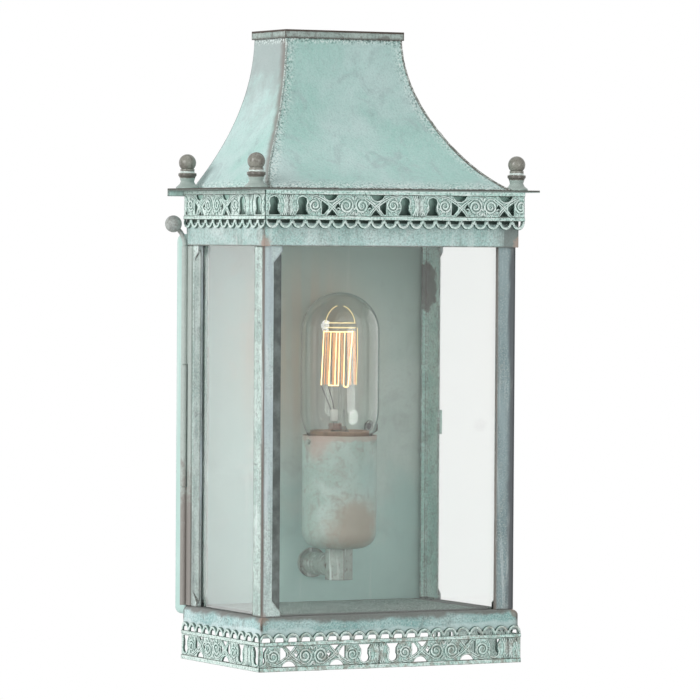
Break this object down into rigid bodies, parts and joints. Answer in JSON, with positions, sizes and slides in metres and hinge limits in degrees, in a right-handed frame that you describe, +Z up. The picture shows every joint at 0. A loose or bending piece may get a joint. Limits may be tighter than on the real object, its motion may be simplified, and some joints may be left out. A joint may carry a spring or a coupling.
{
  "type": "wall lantern",
  "caption": "Glazed half lantern for a wall, with a concave roof, ball finials and pierced galleries; its case swings open sideways round the fixed lamp.",
  "frame": {"origin": "on the wall, midway between the two wall screws", "axes": "+Z up, -Y out of the wall towards the front of the lantern, +X to the right as seen from the front"},
  "size_m": [0.1848, 0.1165, 0.3568],
  "materials": {
    "patina_brass": "matt pale green verdigris over brass sheet",
    "bare_brass": "brown, rubbed brass with little verdigris",
    "dull_brass": "dull brass",
    "cap_brass": "plated lamp cap",
    "window_glass": "clear flat glass",
    "bulb_glass": "clear bulb glass",
    "filament_glow": "glowing filament",
    "lead_wire": "thin wire",
    "porcelain": "glazed porcelain",
    "terminal_plastic": "moulded plastic"
  },
  "bodies": {
    "wall_part": {"back_box": "patina_brass", "wall_bracket": "dull_brass", "bracket_screws": "dull_brass", "terminal_block": "terminal_plastic", "hinge_leaf_fixed": "bare_brass", "catch_spring": "dull_brass", "catch_rivets": "dull_brass", "arm_collar": "bare_brass", "lamp_arm": "bare_brass", "arm_nut": "dull_brass", "arm_coupling": "dull_brass", "cup_nipple": "dull_brass", "lamp_cup": "patina_brass", "lampholder": "porcelain", "bulb_cap": "cap_brass", "bulb_glass": "bulb_glass", "bulb_stem": "bulb_glass", "filament": "filament_glow", "filament_wires": "lead_wire"},
    "case": {"hinge_leaf_moving": "bare_brass", "hinge_pin": "bare_brass", "floor_plate": "patina_brass", "base_rail_front": "patina_brass", "base_rail_left": "patina_brass", "base_rail_right": "patina_brass", "base_rail_rear": "patina_brass", "lower_gallery_front": "patina_brass", "lower_gallery_left": "patina_brass", "lower_gallery_right": "patina_brass", "post_front_left": "patina_brass", "post_front_right": "patina_brass", "post_rear_left": "patina_brass", "post_rear_right": "patina_brass", "glass_front": "window_glass", "glass_left": "window_glass", "glass_right": "window_glass", "glazing_clips": "dull_brass", "top_rail_front": "patina_brass", "top_rail_left": "patina_brass", "top_rail_right": "patina_brass", "top_rail_rear": "patina_brass", "upper_gallery_front": "patina_brass", "upper_gallery_left": "patina_brass", "upper_gallery_right": "patina_brass", "eave_plate": "patina_brass", "roof_shell": "patina_brass", "roof_cap": "patina_brass", "finial_front_left": "bare_brass", "finial_front_right": "bare_brass", "finial_rear_left": "bare_brass", "finial_rear_right": "bare_brass"}
  },
  "joints": [
    {"name": "case_swing", "type": "hinge", "parent": "wall_part", "child": "case", "pos_m": [-0.0815, -0.01375, 0], "axis": [0, 0, -1], "range_deg": [0, 90]}
  ]
}
